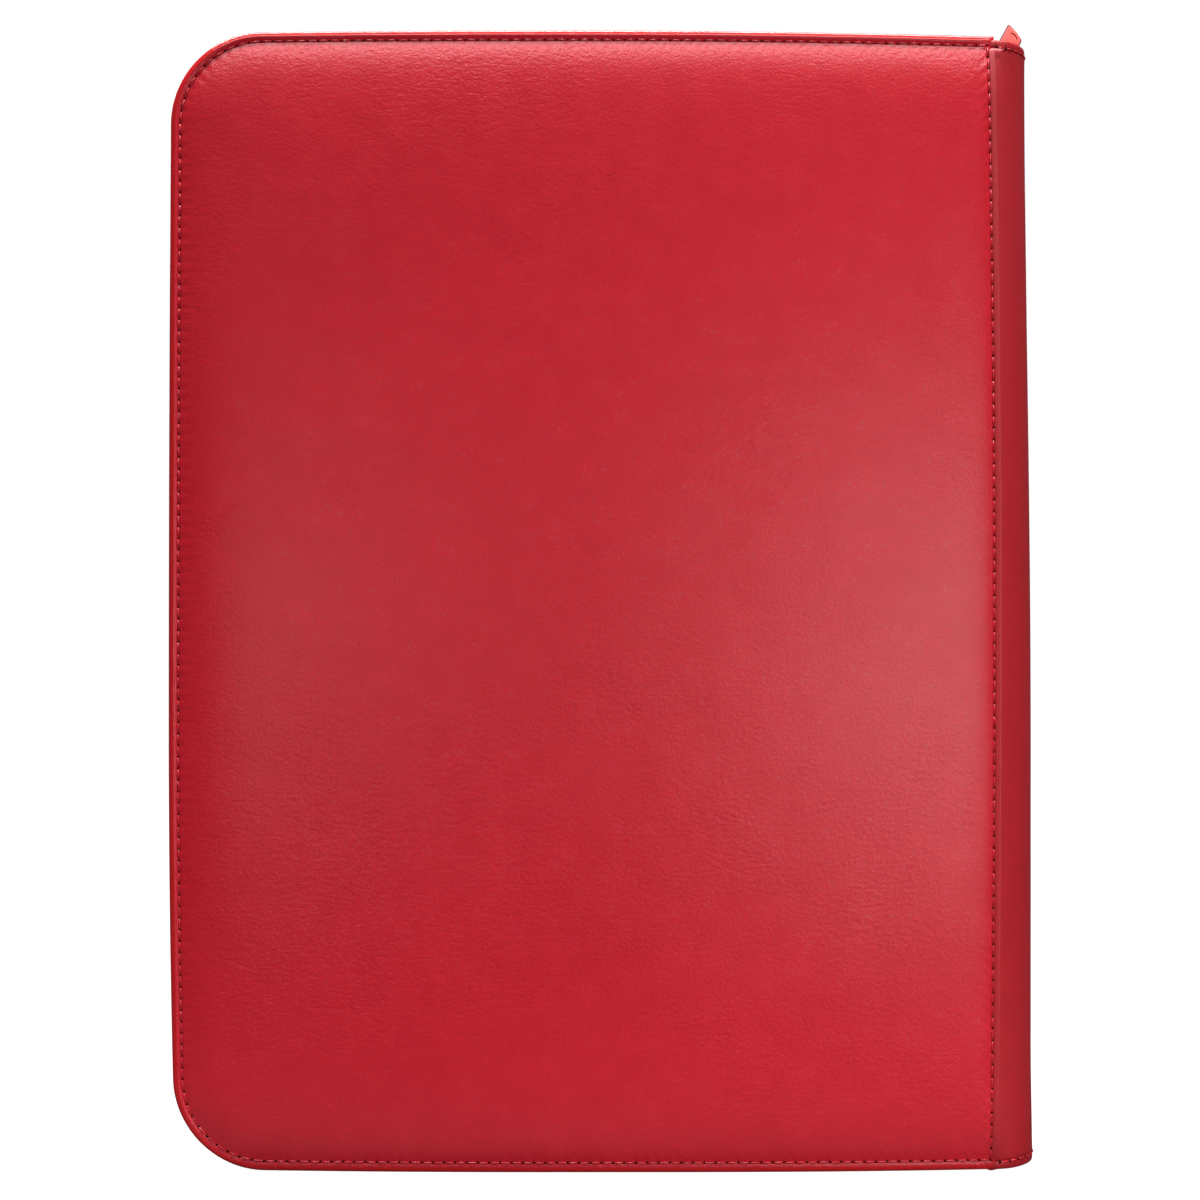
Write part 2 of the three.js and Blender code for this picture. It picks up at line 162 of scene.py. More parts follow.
class Nodes:
    """A new material and short calls that add nodes to it."""

    def __init__(self, name):
        self.material = bpy.data.materials.new(name)
        self.material.use_nodes = True
        self.tree = self.material.node_tree
        self.shader = self.tree.nodes["Principled BSDF"]
        self.place = self.add("ShaderNodeTexCoord").outputs["Object"]

    def plug(self, socket, value):
        """Links a socket, or sets it. A colour may leave out its alpha."""
        if isinstance(value, bpy.types.NodeSocket):
            self.tree.links.new(value, socket)
        elif socket.type == "RGBA" and len(value) == 3:
            socket.default_value = (*value, 1.0)
        else:
            socket.default_value = value

    def add(self, kind, inputs=None, **settings):
        node = self.tree.nodes.new(kind)
        for key, value in settings.items():
            setattr(node, key, value)
        for key, value in (inputs or {}).items():
            self.plug(node.inputs[key], value)
        return node

    def set(self, **values):
        for key, value in values.items():
            self.plug(self.shader.inputs[key.replace("_", " ")], value)

    def stretch(self, x, y, z):
        return self.add("ShaderNodeMapping", {"Vector": self.place, "Scale": (x, y, z)}).outputs["Vector"]

    def noise(self, scale, detail=3.0, rough=0.5, place=None):
        inputs = {"Vector": place or self.place, "Scale": scale, "Detail": detail, "Roughness": rough}
        return self.add("ShaderNodeTexNoise", inputs).outputs["Fac"]

    def cells(self, scale, feature="F1", place=None, **inputs):
        inputs.update({"Vector": place or self.place, "Scale": scale})
        return self.add("ShaderNodeTexVoronoi", inputs, feature=feature).outputs["Distance"]

    def waves(self, scale, place, direction="X"):
        inputs = {"Vector": place, "Scale": scale, "Distortion": 0.0}
        node = self.add("ShaderNodeTexWave", inputs, wave_type="BANDS", bands_direction=direction)
        return node.outputs["Fac"]

    def math(self, operation, a, b):
        return self.add("ShaderNodeMath", {0: a, 1: b}, operation=operation).outputs[0]

    def weigh(self, a, a_weight, b, b_weight):
        return self.math("ADD", self.math("MULTIPLY", a, a_weight), self.math("MULTIPLY", b, b_weight))

    def span(self, value, low, high, to_low=0.0, to_high=1.0):
        inputs = {"Value": value, "From Min": low, "From Max": high, "To Min": to_low, "To Max": to_high}
        return self.add("ShaderNodeMapRange", inputs).outputs["Result"]

    def mix(self, factor, a, b):
        return self.add("ShaderNodeMix", {0: factor, 6: a, 7: b}, data_type="RGBA").outputs[2]

    def bump(self, height, distance, strength=1.0):
        inputs = {"Height": height, "Distance": distance, "Strength": strength}
        return self.add("ShaderNodeBump", inputs).outputs["Normal"]

    def finish(self, texture, colours, colour_span, rough_span, relief):
        """A whole material from one texture. The spans are span's limits, and relief is bump's distance
        and strength."""
        self.set(Base_Color=self.mix(self.span(texture, *colour_span), *colours),
                 Roughness=self.span(texture, *rough_span), Normal=self.bump(texture, *relief))
        return self.material


# ---- Materials

def leatherette(name, dark, light, grain=1.0, shine=0.22):
    """Finely pebbled artificial leather with a soft shine and a few faint creases."""
    n = Nodes(name)
    drift = n.noise(9.0, 2.0)
    patches = n.noise(110.0, 4.0, 0.6)
    wrinkles = n.noise(620.0, 3.0, 0.62, n.stretch(0.75, 1.0, 1.3))
    wrinkle_area = n.span(n.noise(24.0, 3.0), 0.38, 0.62, 0.35, 1.0)
    warp = n.add("ShaderNodeTexNoise", {"Vector": n.place, "Scale": 420.0, "Detail": 2.0}).outputs["Color"]
    shifted = n.add("ShaderNodeVectorMath", {0: warp, 1: (0.0016, 0.0016, 0.0016)}, operation="MULTIPLY")
    bent = n.add("ShaderNodeVectorMath", {0: n.place, 1: shifted.outputs[0]}, operation="ADD").outputs[0]
    pebbles = n.cells(1500.0, "SMOOTH_F1", bent, Smoothness=0.5)
    fine = n.noise(3400.0, 3.0, 0.6)
    creases = n.cells(260.0, "DISTANCE_TO_EDGE", n.stretch(0.45, 1.0, 1.25))
    crease_area = n.span(n.noise(18.0, 2.0), 0.5, 0.68)
    crease = n.math("MULTIPLY", n.math("SUBTRACT", 1.0, n.span(creases, 0.0, 0.1)), crease_area)
    tone = n.weigh(drift, 0.5, patches, 0.5)
    colour = n.mix(n.span(tone, 0.35, 0.65), dark, light)
    # Painted shade: the colour darkens towards half the dark red in the hollows of the pebbled grain.
    grain_valley_shade = n.math("MULTIPLY", n.span(pebbles, 0.35, 0.8), 0.2)
    colour = n.mix(grain_valley_shade, colour, tuple(0.5 * c for c in dark))
    rough = n.math("ADD", n.span(patches, 0.3, 0.7, shine, shine + 0.025), n.math("MULTIPLY", pebbles, 0.05))
    height = n.weigh(pebbles, -0.8, fine, 0.3)
    height = n.math("SUBTRACT", height, n.math("MULTIPLY", crease, 0.3))
    height = n.math("ADD", height, n.math("MULTIPLY", n.math("MULTIPLY", wrinkles, wrinkle_area), 2.6))
    normal = n.bump(height, 0.00009 * grain, 0.45)
    n.set(Base_Color=colour, Roughness=rough, Normal=normal, Specular_IOR_Level=0.5)
    return n.material


def thread_material(name, dark, light, shine, specular=0.5):
    """Twisted thread."""
    n = Nodes(name)
    twist = n.waves(900.0, n.stretch(1.0, 0.6, 1.0), "DIAGONAL")
    colour = n.mix(n.span(n.noise(700.0), 0.3, 0.7), dark, light)
    n.set(Base_Color=colour, Roughness=n.span(twist, 0.0, 1.0, shine, shine + 0.1),
          Specular_IOR_Level=specular, Normal=n.bump(twist, 0.00008, 0.6))
    return n.material


def woven(name, dark, light, threads=1700.0, shine=0.75, slanted=False):
    """Plain weave that runs along the object's own axes. The slanted one suits a tape that turns
    corners."""
    n = Nodes(name)
    if slanted:
        warp = n.math("MULTIPLY", n.waves(threads, n.stretch(1.0, 0.0, 1.0), "DIAGONAL"), 2.0)
    else:
        warp = n.math("ADD", n.waves(threads, n.place, "X"), n.waves(threads, n.place, "Z"))
    weft = n.waves(threads, n.place, "Y")
    cloth = n.weigh(warp, 0.5, weft, 0.5)
    fuzz = n.noise(3500.0, 2.0)
    tone = n.weigh(cloth, 0.45, n.noise(60.0), 0.5)
    colour = n.mix(n.span(tone, 0.3, 0.9), dark, light)
    rough = n.span(fuzz, 0.3, 0.7, shine - 0.08, shine + 0.1)
    n.set(Base_Color=colour, Roughness=rough, Normal=n.bump(cloth, 0.00015, 0.5), Sheen_Weight=0.12)
    return n.material


def foam_material():
    n = Nodes("open_cell_foam")
    return n.finish(n.cells(1300.0), ((0.035, 0.035, 0.038), (0.11, 0.11, 0.115)),
                    (0.1, 0.6), (0, 1, 0.85, 0.98), (0.0004, 0.8))


def board_material():
    n = Nodes("grey_board")
    fibres = n.noise(900.0, 5.0, 0.7, n.stretch(1.0, 0.4, 0.35))
    return n.finish(fibres, ((0.22, 0.18, 0.13), (0.38, 0.32, 0.25)),
                    (0.3, 0.7), (0.2, 0.8, 0.8, 0.95), (0.00015, 0.5))


def metal_material():
    """Bright nickel plate with fine brushing and dull rubbed patches."""
    n = Nodes("nickel_plate")
    brushed = n.noise(900.0, 4.0, 0.6, n.stretch(0.2, 1.0, 1.0))
    worn = n.noise(260.0, 3.0)
    colour = n.mix(n.span(worn, 0.4, 0.65), (0.62, 0.62, 0.64), (0.8, 0.8, 0.82))
    n.set(Base_Color=colour, Metallic=1.0, Roughness=n.span(brushed, 0.3, 0.7, 0.16, 0.34),
          Normal=n.bump(brushed, 0.00003, 0.4))
    return n.material


def nylon_material():
    n = Nodes("coil_nylon")
    return n.finish(n.noise(800.0, 2.0), ((0.22, 0.006, 0.011), (0.34, 0.012, 0.02)),
                    (0.3, 0.7), (0.3, 0.7, 0.28, 0.4), (0.00004, 0.3))


def page_core_material():
    """The black backing sheet of a page."""
    n = Nodes("page_core")
    return n.finish(n.noise(1500.0), ((0.006, 0.006, 0.007), (0.016, 0.016, 0.018)),
                    (0.3, 0.7), (0.3, 0.7, 0.45, 0.6), (0.00005, 0.4))


def page_film_material():
    """Clear pocket film over the black sheet: dark, glossy and slightly wavy."""
    n = Nodes("pocket_film")
    ripple = n.noise(45.0, 2.0)
    dust = n.noise(1400.0, 4.0, 0.7)
    colour = n.mix(n.span(dust, 0.45, 0.75), (0.012, 0.012, 0.014), (0.03, 0.03, 0.034))
    rough = n.span(dust, 0.3, 0.75, 0.1, 0.24)
    n.set(Base_Color=colour, Roughness=rough, Normal=n.bump(ripple, 0.0012, 0.35), Coat_Weight=0.6)
    return n.material


def floor_material():
    n = Nodes("pale_floor")
    tone = n.noise(3.0, 2.0)
    colour = n.mix(tone, (0.05, 0.05, 0.05), (0.07, 0.07, 0.07))
    n.set(Base_Color=colour, Roughness=0.95, Emission_Color=(1, 1, 1), Emission_Strength=1.0)
    return n.material


MATERIALS = {
    "leather": leatherette("red_leatherette", (0.47, 0.0085, 0.019), (0.53, 0.0105, 0.023)),
    "rolled_edge": leatherette("red_leatherette_edge", (0.47, 0.01, 0.013), (0.53, 0.012, 0.015),
                               0.25, 0.13),
    # The spine's leatherette is a darker copy of the cover's: painted shade, as the spine turns away from the
    # lamps.
    "spine": leatherette("red_leatherette_spine_shaded", (0.35, 0.0085, 0.014), (0.39, 0.0095, 0.016), 0.5, 0.42),
    "raw_edge": leatherette("leatherette_cut_edge", (0.1, 0.002, 0.004), (0.17, 0.003, 0.006), 0.6, 0.7),
    "thread": thread_material("red_thread", (0.34, 0.008, 0.015), (0.5, 0.016, 0.026), 0.22),
    # Near-black, barely glossy plugs for the needle holes: painted shade in the holes.
    "hole": thread_material("needle_hole", (0.01, 0.0005, 0.0007), (0.03, 0.001, 0.0015), 0.9, 0.1),
    # The tab's leatherette is a lighter, more orange copy of the cover's: painted light from the lamps above
    # on its upturned face.
    "tab": leatherette("red_leatherette_tab_lit", (0.6, 0.034, 0.02), (0.68, 0.046, 0.028), 0.5, 0.6),
    "tape": woven("red_zip_tape", (0.13, 0.0035, 0.007), (0.26, 0.008, 0.014), slanted=True),
    "lining": woven("black_lining", (0.006, 0.006, 0.007), (0.022, 0.022, 0.024), 1100.0, 0.85),
    "binding": woven("black_binding_tape", (0.005, 0.005, 0.006), (0.018, 0.018, 0.02), 800.0, 0.8),
    "foam": foam_material(),
    "board": board_material(),
    "metal": metal_material(),
    "nylon": nylon_material(),
    "core": page_core_material(),
    "film": page_film_material(),
    "floor": floor_material(),
}


# ---- Mesh helpers

def smooth_object(name, mesh, slot):
    mesh.polygons.foreach_set("use_smooth", np.ones(len(mesh.polygons), bool))
    piece = bpy.data.objects.new(name, mesh)
    bpy.context.scene.collection.objects.link(piece)
    return piece


def new_piece(name, points, faces, material, slot, flip=False):
    """A smooth-shaded mesh from points in millimetres."""
    if flip:
        faces = [tuple(reversed(face)) for face in faces]
    mesh = bpy.data.meshes.new(name)
    mesh.from_pydata((np.asarray(points, float) * MM).tolist(), [], faces)
    mesh.materials.append(MATERIALS[material])
    mesh.update()
    return smooth_object(name, mesh, slot)


def apply_modifiers(piece):
    """Turns what the modifiers make into the piece's own mesh."""
    bpy.context.view_layer.update()
    graph = bpy.context.evaluated_depsgraph_get()
    finished = bpy.data.meshes.new_from_object(piece.evaluated_get(graph))
    old = piece.data
    piece.modifiers.clear()
    piece.data = finished
    finished.name = piece.name
    bpy.data.meshes.remove(old)


def stands_for(piece, body, node):
    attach(piece, body)
    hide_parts(node)


def thicken(piece, thickness, offset=-1.0):
    modifier = piece.modifiers.new("thickness", "SOLIDIFY")
    modifier.thickness = thickness * MM
    modifier.offset = offset
    apply_modifiers(piece)


def grid_faces(rows, columns, wrap=False, start=0):
    """Quads over a grid of points kept row by row. wrap joins the last column to the first."""
    faces = []
    steps = columns if wrap else columns - 1
    for i in range(rows - 1):
        for j in range(steps):
            a = start + i * columns + j
            b = start + i * columns + (j + 1) % columns
            faces.append((a, b, b + columns, a + columns))
    return faces


def closed_faces(rings, count):
    """Faces of a tube made of rings of points, with a cap on each end."""
    last = (rings - 1) * count
    caps = [tuple(range(count - 1, -1, -1)), tuple(range(last, last + count))]
    return grid_faces(rings, count, wrap=True) + caps


def at_depth(flat, depth):
    """Points (x, z) as (x, depth, z)."""
    return np.column_stack([flat[:, 0], np.broadcast_to(depth, len(flat)), flat[:, 1]])


def tube(path, radius, sides=6):
    """Points and faces of a closed round bar along a path."""
    path = np.asarray(path, float)
    tangent = np.gradient(path, axis=0)
    tangent /= np.linalg.norm(tangent, axis=1)[:, None]
    reference = np.array([0.31, 0.57, 0.76])
    side = np.cross(tangent, reference)
    side /= np.linalg.norm(side, axis=1)[:, None]
    up = np.cross(tangent, side)
    angles = np.arange(sides) / sides * 2 * math.pi
    radii = np.broadcast_to(radius, (len(path),))
    rings = (path[:, None] + radii[:, None, None] * (np.cos(angles)[None, :, None] * side[:, None]
                                                      + np.sin(angles)[None, :, None] * up[:, None]))
    return rings.reshape(-1, 3), closed_faces(len(path), sides)


def gather(parts):
    """Joins many (points, faces) into one."""
    points, faces, start = [], [], 0
    for some_points, some_faces in parts:
        points.append(some_points)
        faces += [tuple(i + start for i in face) for face in some_faces]
        start += len(some_points)
    return np.concatenate(points), faces


def smooth_step(low, high, value):
    t = np.clip((value - low) / (high - low), 0.0, 1.0)
    return t * t * (3 - 2 * t)


def ripple(x, z, wavelength, seed):
    """Smooth unevenness between about -1 and 1."""
    places = zip(np.ravel(x) / wavelength, np.ravel(z) / wavelength)
    return np.reshape([noise.noise(Vector((a, b, seed))) for a, b in places], np.shape(x)) * 1.6


# ---- How the soft cover settles

def settle(points):
    """The edges of the sewn cover bow a little: they are fullest near their middles."""
    x, y, z = np.array(points, float).T
    up = np.clip((z - MIDDLE_Z) / MIDDLE_Z, 0, 1)
    down = np.clip((MIDDLE_Z - z) / MIDDLE_Z, 0, 1)
    to_spine = np.clip((x + 5) / 123, 0, None)
    to_edge = np.clip((-20 - x) / 95, 0, None)
    lift = down * (1.0 * to_spine ** 3 + 0.8 * to_edge ** 2) - up * (1.9 * to_spine ** 2 + 0.7 * to_edge ** 2)
    fullest = 0.38 * TOP_Z
    bow = np.where(z < fullest, 1.2 * ((fullest - z) / 100) ** 2, 0.6 * ((z - fullest) / 178) ** 2)
    shift = np.clip(-x / 129, 0, 1) * np.clip(bow, 0, 2.0)
    drop = np.clip(1 - z / TOP_Z, 0, 1)
    at_fold = 1.1 * np.sin(math.pi * drop) + 0.3 * drop - 0.7 * (1 - drop) ** 6
    at_apex = -0.85 + 1.95 * smooth_step(0, 0.6, drop) + 0.4 * smooth_step(0.9, 1.0, drop)
    outward = smooth_step(FOLD_X, APEX_X, x)
    shift = shift + smooth_step(60, FOLD_X, x) * (at_fold + (at_apex - at_fold) * outward)
    return np.stack([x + shift, y, z + lift], axis=1)


# ---- The padded cover

def stitch_counts():
    top = COVER_EDGE_X - ARC_X
    left = TOP_Z - 2 * CORNER_RADIUS
    arc = (CORNER_RADIUS - STITCH_INSET) * math.pi / 2
    counts = {"top": round(top / STITCH_PITCH), "left": round(left / STITCH_PITCH)}
    counts["arc"] = 2 * round(arc / STITCH_PITCH / 2)
    counts["right"] = counts["left"] + counts["arc"]
    return counts


COUNTS = stitch_counts()


def shares(count):
    return np.arange(count) / count


def line(start, end, share):
    """Points (x, z) at shares of the way from one place to another."""
    return np.array(start) + (np.array(end) - start) * share[:, None]


def edge_ring(inset, right_inset, parts=STITCH_PARTS):
    """x and z round the cover at an inset: from the top of the fold, along the top, round the free edge,
    along the bottom and up the fold. Every ring has the same number of points."""
    right = COVER_EDGE_X - right_inset
    left, top, low = FREE_X + inset, TOP_Z - inset, inset
    radius = CORNER_RADIUS - inset
    across, down, turn, rise = (shares(COUNTS[side] * parts) for side in ("top", "left", "arc", "right"))
    turn = turn * math.pi / 2
    return np.concatenate([
        line((right, top), (ARC_X, top), across),
        np.stack([ARC_X - radius * np.sin(turn), ARC_HIGH + radius * np.cos(turn)], 1),
        line((left, ARC_HIGH), (left, CORNER_RADIUS), down),
        np.stack([ARC_X - radius * np.cos(turn), CORNER_RADIUS - radius * np.sin(turn)], 1),
        line((ARC_X, low), (right, low), across),
        line((right, low), (right, top), rise)])


def inner_ring(inset):
    """The same points on a square-cornered rectangle, one for each stitch."""
    right, left, top, low = COVER_EDGE_X - inset, FREE_X + inset, TOP_Z - inset, inset
    corners = [(right, top), (left, top), (left, low), (right, low), (right, top)]
    across, down = shares(COUNTS["top"] + COUNTS["arc"] // 2), shares(COUNTS["right"])
    return np.concatenate([line(*ends) for ends in zip(corners, corners[1:], (across, down, across, down))])


def edge_distance(x, z):
    """Distance in from the cover's top, free edge and bottom, rounded as the outline is."""
    nearest = np.minimum(np.minimum(x - FREE_X, TOP_Z - z), z)
    level = np.clip(z, CORNER_RADIUS, ARC_HIGH)
    radial = CORNER_RADIUS - np.hypot(x - ARC_X, z - level)
    nearest = np.where((x < ARC_X) & (z != level), radial, nearest)
    softness = 7.0
    total = sum(np.exp(-d / softness) for d in (x - FREE_X, TOP_Z - z, z))
    soft = -softness * np.log(total)
    return nearest + (soft - nearest) * smooth_step(12, CORNER_RADIUS, nearest)


def bridge_rings(coarse, middle):
    """Rings (x, z) from one ring to another with the same number of points."""
    return [coarse + (middle - coarse) * step / BRIDGES for step in range(1, BRIDGES + 1)]


def crown_shape(x, z):
    """How far out the padded face stands, inside the stitching."""
    inside = np.maximum(edge_distance(x, z) - CROWN_START, 0)
    from_fold = np.maximum(COVER_EDGE_X - SEAM_INSET - x, 0)
    at_edge = 1.6 * np.exp(-inside / 7.0) + 1.15 * np.exp(-inside / 26.0)
    at_fold = 0.95 * np.exp(-from_fold / 3.4) + 0.15 * np.exp(-from_fold / 25.0)
    return OUTER_W - (at_edge ** 3 + at_fold ** 3) ** (1 / 3)


def fold_drop(z):
    """How far the seam at the fold sinks towards the top and the bottom of the cover."""
    x = np.full(np.shape(z), COVER_EDGE_X - SEAM_INSET - 0.45)
    return np.maximum(SEAM_LEVEL - crown_shape(x, z), 0)


def crown(x, z):
    """crown_shape with the slight unevenness of the pad."""
    fade = smooth_step(0, 20, edge_distance(x, z) - CROWN_START)
    uneven = 0.08 * ripple(x, z, 55.0, 3.1) + 0.04 * ripple(x, z, 17.0, 8.4) - 0.06
    return crown_shape(x, z) + fade * uneven


def edge_profile():
    """(inset, depth) from the turned-in hem, round the rolled edge, to the stitch groove, at the free
    edges; and the same for the edge at the fold, which slopes down under the spine's strip."""
    free = [(HEM_WIDTH, 13.72), (1.0, 13.95), (0.4, 14.1), (0.08, 14.6), (0.0, 15.2)]
    fold = list(free)
    for i in range(ROLL_TURNS):
        angle = math.radians(ROLL_SWEEP) * i / (ROLL_TURNS - 1)
        across, out = 1 - math.cos(angle), math.sin(angle)
        flat_inset, flat_depth = EDGE_FLAT if i > ROLL_TURNS - 3 else (0.0, 0.0)
        free.append((EDGE_ROLL * across + flat_inset, EDGE_W + EDGE_ROLL * out + flat_depth))
        fold.append((0.05 + FOLD_ROLL[0] * across, EDGE_W + FOLD_ROLL[1] * out))
    free += [(1.34, 16.78), (1.6, 16.79), (1.85, 16.73), (2.15, 16.61), (2.45, 16.46), (2.68, 16.31)]
    fold += [(1.12, 17.2), (1.2, 17.28), (1.3, 17.38), (1.42, 17.48), (1.6, 17.58), (1.82, 17.64)]
    free += [(STITCH_INSET, 16.18), (3.12, 16.22), (CROWN_START, 16.34)]
    fold += [(SEAM_INSET, 17.66), (2.28, 17.72), (2.5, 17.8)]
    return free, fold


def fold_share(ring, inset, fold_inset):
    """1 on the side at the fold, 0 on the others, with a short change at the two corners."""
    from_fold = COVER_EDGE_X - fold_inset - ring[:, 0]
    from_end = np.minimum(TOP_Z - inset - ring[:, 1], ring[:, 1] - inset)
    along_fold = 0.5 + 0.5 * smooth_step(0, CORNER_BLEND, from_end)
    return np.where(from_fold < 1e-6, along_fold, 0.5 - 0.5 * smooth_step(0, CORNER_BLEND, from_fold))


def edge_rings():
    """The skin from its hem to its stitch groove."""
    rings = []
    for (inset, depth), (fold_inset, fold_depth) in zip(*edge_profile()):
        ring = edge_ring(inset, fold_inset)
        sunk = fold_drop(ring[:, 1]) * np.clip((fold_depth - EDGE_W) / (SEAM_LEVEL - EDGE_W), 0, 1)
        if inset > 1.2 and depth > EDGE_W:
            depth = depth + (HEM_LEVEL - depth) * 0.7 * (1 - smooth_step(3, 24, ring[:, 1]))
        share = fold_share(ring, inset, fold_inset)
        rings.append(at_depth(ring, depth + (fold_depth - sunk - depth) * share))
    pull = needle_pull(len(rings[0]))
    rings[STITCH_RING][:, 1] -= 0.4 * pull
    for neighbour in (STITCH_RING - 1, STITCH_RING + 1):
        rings[neighbour][:, 1] -= 0.2 * pull
    return rings


def cover_face():
    """Points (x, depth, z) and faces of the cover's skin, and the ring that the stitches lie in."""
    rings = edge_rings()
    count = len(rings[0])
    correction = rings[-1][:, 1] - crown(*rings[-1][:, [0, 2]].T)
    for inset in CROWN_INSETS:
        ring = edge_ring(inset, inset - 0.9)
        past = inset - CROWN_START
        pull = 0.2 * needle_pull(count) * math.exp(-past / 1.3)
        level = crown(*ring.T) + correction * math.exp(-past / 2.0) - pull
        rings.append(at_depth(ring, level))
    faces = grid_faces(len(rings), count, wrap=True)
    coarse = rings[-1][::STITCH_PARTS][:, [0, 2]]
    few = len(coarse)
    start = len(rings) * count
    for j in range(few):
        fine = [start - count + (j * STITCH_PARTS + i) % count for i in range(STITCH_PARTS + 1)]
        faces.append((*fine, start + (j + 1) % few, start + j))
    faces += grid_faces(BRIDGES, few, wrap=True, start=start)
    inner_points, inner_faces = middle_grid(start + (BRIDGES - 1) * few, start + BRIDGES * few)
    bridges = [at_depth(flat, crown(*flat.T)) for flat in bridge_rings(coarse, inner_ring(INNER_INSET))]
    return np.concatenate(rings + bridges + [inner_points]), faces + inner_faces, rings[STITCH_RING]


def needle_pull(count):
    """1 at every needle hole and 0 between them."""
    return (np.arange(count) % STITCH_PARTS == 0).astype(float)


def middle_grid(ring_start, start):
    """Fills the rectangle inside the innermost ring with a grid that uses the ring's points as its border."""
    half = COUNTS["arc"] // 2
    wide, tall = COUNTS["top"] + half, COUNTS["right"]
    total = 2 * (wide + tall)
    right, left = COVER_EDGE_X - INNER_INSET, FREE_X + INNER_INSET
    top, low = TOP_Z - INNER_INSET, INNER_INSET
    xs = right + (left - right) * np.arange(1, wide) / wide
    zs = top + (low - top) * np.arange(1, tall) / tall
    grid_x, grid_z = np.meshgrid(xs, zs)
    points = np.column_stack([grid_x.ravel(), crown(grid_x, grid_z).ravel(), grid_z.ravel()])

    def index(i, j):
        """i counts across from the fold, j counts down from the top."""
        if j == 0:
            return ring_start + i
        if i == wide:
            return ring_start + wide + j
        if j == tall:
            return ring_start + (wide + tall + (wide - i)) % total
        if i == 0:
            return ring_start + (2 * wide + tall + (tall - j)) % total
        return start + (j - 1) * (wide - 1) + (i - 1)

    faces = [(index(i, j), index(i + 1, j), index(i + 1, j + 1), index(i, j + 1))
             for j in range(tall) for i in range(wide)]
    return points, faces


FACE_POINTS, FACE_FACES, STITCH_LINE = cover_face()


def placed(points, side):
    """Points given as (x, depth, z), put on the back or the front and settled."""
    points = np.array(points, float)
    points[:, 1] *= side
    return settle(points)


def cover_skin(side, prefix, body):
    points = placed(FACE_POINTS, side)
    piece = new_piece(body + "_skin", points, FACE_FACES, "leather", "leatherette", side == FRONT)
    piece.data.materials.append(MATERIALS["rolled_edge"])
    for face in piece.data.polygons:
        if face.index < ROLL_END * len(STITCH_LINE):
            face.material_index = 1
    thicken(piece, LEATHER)
    stands_for(piece, body, prefix + "_skin")


def stitch_row(holes, outward, height=0.28, radius=0.32, sink=0.6):
    """One thread from each needle hole to the next, rising out of the groove between them."""
    parts = []
    outward = np.broadcast_to(outward, np.shape(holes))
    steps = np.linspace(0.06, 0.94, 9)
    arch = np.sin(math.pi * steps) ** 0.55
    for k in range(len(holes) - 1):
        here, there = holes[k], holes[k + 1]
        out = (outward[k] + outward[k + 1]) / 2
        path = here + (there - here) * steps[:, None] + out * ((height + sink) * arch - sink)[:, None]
        parts.append(tube(path, radius * (0.75 + 0.25 * arch)))
    return gather(parts)


def needle_holes(holes, outward, radius=0.52):
    """Small dark plugs where the thread goes in: painted shade in the needle holes."""
    parts = []
    outward = np.broadcast_to(outward, np.shape(holes))
    for hole, out in zip(holes, outward):
        path = [hole - out * 0.6, hole - out * 0.2, hole + out * 0.06]
        parts.append(tube(path, np.array([0.2, 0.8, 1.0]) * radius, 8))
    return gather(parts)


def cover_stitching(side, body):
    holes = placed(STITCH_LINE, side)[::STITCH_PARTS]
    out = np.array([0.0, side, 0.0])
    groove = np.concatenate([holes, holes[:1]]) + out * 0.3
    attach(new_piece(body + "_stitches", *stitch_row(groove, out), "thread", "leatherette"), body)
    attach(new_piece(body + "_needle_holes", *needle_holes(groove[:-1], out), "hole", "leatherette"), body)


def cover_foam(side, prefix, body):
    """The pad under the skin: crowned on the outside and flat against the board."""
    under_skin = LEATHER + PAD_GAP
    rings = []
    for inset in PAD_INSETS:
        ring = edge_ring(inset, inset + 1.5, 1)
        level = np.minimum(crown(*ring.T) - under_skin, OUTER_W)
        rings.append(at_depth(ring, BOARD_TOP_W + 0.15 if inset < 3 else level))
    count = len(rings[0])
    for flat in bridge_rings(rings[-1][:, [0, 2]], inner_ring(INNER_INSET)):
        rings.append(at_depth(flat, crown(*flat.T) - under_skin))
    inner_points, inner_faces = middle_grid((len(rings) - 1) * count, len(rings) * count)
    inner_points[:, 1] -= under_skin
    points = np.concatenate(rings + [inner_points])
    underside = points.copy()
    underside[:, 1] = BOARD_TOP_W + 0.1
    size = len(points)
    rim = [(j, j + size, (j + 1) % count + size, (j + 1) % count) for j in range(count)]
    faces = grid_faces(len(rings), count, wrap=True) + inner_faces
    closed = faces + [tuple(i + size for i in reversed(face)) for face in faces] + rim
    points = placed(np.concatenate([points, underside]), side)
    piece = new_piece(body + "_foam", points, closed, "foam", "foam", side == FRONT)
    stands_for(piece, body, prefix + "_foam")


def flat_layer(side, prefix, body, kind, inset, low_w, high_w, round_off=0.15):
    """A closed flat sheet of a cover, its board or its lining, with softened edges. It is set in from the
    free edges and runs to the fold."""
    steps = ((2, low_w), (round_off, low_w), (0, low_w + round_off),
             (0, high_w - round_off), (round_off, high_w), (2, high_w))
    rings = [at_depth(edge_ring(inset + step, step + FLAT_FOLD_INSET, 1), depth) for step, depth in steps]
    points = placed(np.concatenate(rings), side)
    faces = closed_faces(len(rings), len(rings[0]))
    piece = new_piece(f"{body}_{kind}", points, faces, kind, kind, side == FRONT)
    stands_for(piece, body, f"{prefix}_{kind}")
    return piece


# ---- The spine

ARC_START = math.acos((CREST_X + 0.15 - SPINE_CENTRE_X) / SPINE_RADIUS)


